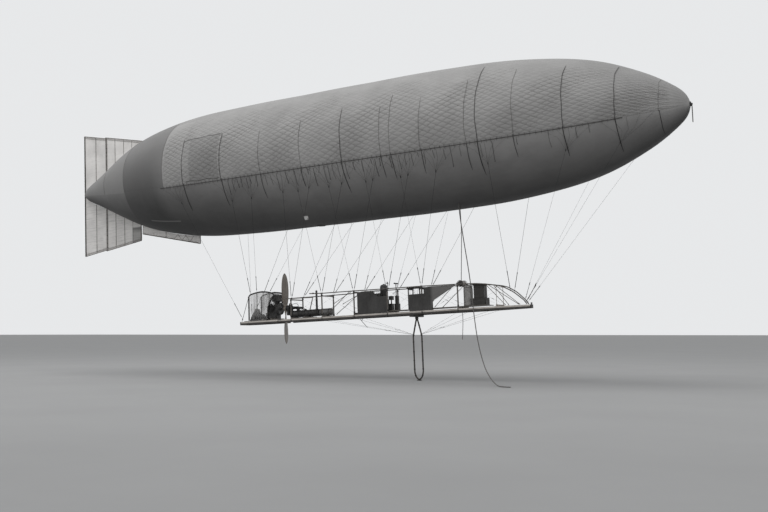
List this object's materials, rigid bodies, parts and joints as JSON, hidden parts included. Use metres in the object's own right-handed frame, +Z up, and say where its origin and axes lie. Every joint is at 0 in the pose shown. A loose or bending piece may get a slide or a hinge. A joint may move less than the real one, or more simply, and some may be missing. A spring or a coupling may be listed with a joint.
{
  "type": "small pressure airship with an open girder and one propeller",
  "caption": "Cigar-shaped fabric airship with tail fins, a rudder, and a wooden girder hung below with seats, engine and a two-blade propeller.",
  "frame": {"origin": "on the hull's axis at its centre of buoyancy, where the air holds the airship up", "axes": "+X forward along the hull's axis to the nose, +Y to port, +Z up"},
  "size_m": [23.1226, 4.7422, 9.9698],
  "materials": {
    "hull_cloth": "rubbered balloon cloth, matt, weathered",
    "fin_cloth": "thin pale cloth on dark spars",
    "ash": "varnished ash, worn",
    "dark_wood": "dark varnished hardwood",
    "iron": "blackened iron and steel",
    "tank_metal": "dull tinned sheet",
    "canvas": "dark canvas",
    "pale_canvas": "pale canvas, stained",
    "gauze": "thin gauze",
    "rope": "tarred hemp rope"
  },
  "bodies": {
    "airship": {"envelope": "hull_cloth", "nose_fitting": "iron", "fin_top": "fin_cloth", "fin_bottom": "fin_cloth", "keel_cloth": "fin_cloth", "rigging_port": "rope", "rigging_starboard": "rope", "frame_1": "ash", "frame_2": "ash", "frame_3": "ash", "frame_4": "ash", "frame_5": "ash", "frame_6": "ash", "frame_7": "ash", "beam_port": "ash", "beam_starboard": "ash", "boom_port": "ash", "boom_starboard": "ash", "stern_beam_port": "ash", "stern_beam_starboard": "ash", "stern_frame_port": "iron", "stern_frame_starboard": "iron", "stern_screen_port": "gauze", "stern_screen_starboard": "gauze", "side_cloth_rear_port": "canvas", "side_cloth_rear_starboard": "canvas", "side_cloth_front_port": "canvas", "side_cloth_front_starboard": "canvas", "bow_block": "dark_wood", "stern_block": "dark_wood", "floor_boards": "ash", "stern_deck": "ash", "engine_bearer_rear": "ash", "engine_bearer_front": "ash", "engine": "iron", "tank_cradle": "ash", "tank_rear": "tank_metal", "tank_front": "tank_metal", "seat_rear": "dark_wood", "seat_pilot": "dark_wood", "upright_case": "iron", "stern_case": "iron", "control_case": "dark_wood", "control_lever": "iron", "canvas_column": "pale_canvas", "instrument_box": "dark_wood", "rope_drum": "dark_wood", "skid_bracket": "dark_wood", "skid": "dark_wood", "shaft_bearing": "iron", "trail_rope": "rope", "drop_line": "rope", "drum_rope": "rope", "nose_strop": "rope"},
    "rudder": {"rudder": "fin_cloth"},
    "propeller": {"propeller": "dark_wood", "propeller_shaft": "iron", "flywheel": "iron"}
  },
  "joints": [
    {"name": "rudder_hinge", "type": "hinge", "parent": "airship", "child": "rudder", "pos_m": [-10.93, 0, 0], "axis": [0, 0, 1], "range_deg": [-25, 25]},
    {"name": "propeller_spin", "type": "hinge", "parent": "airship", "child": "propeller", "pos_m": [-2.8, 0, -4.91], "axis": [1, 0, 0], "continuous": true}
  ]
}
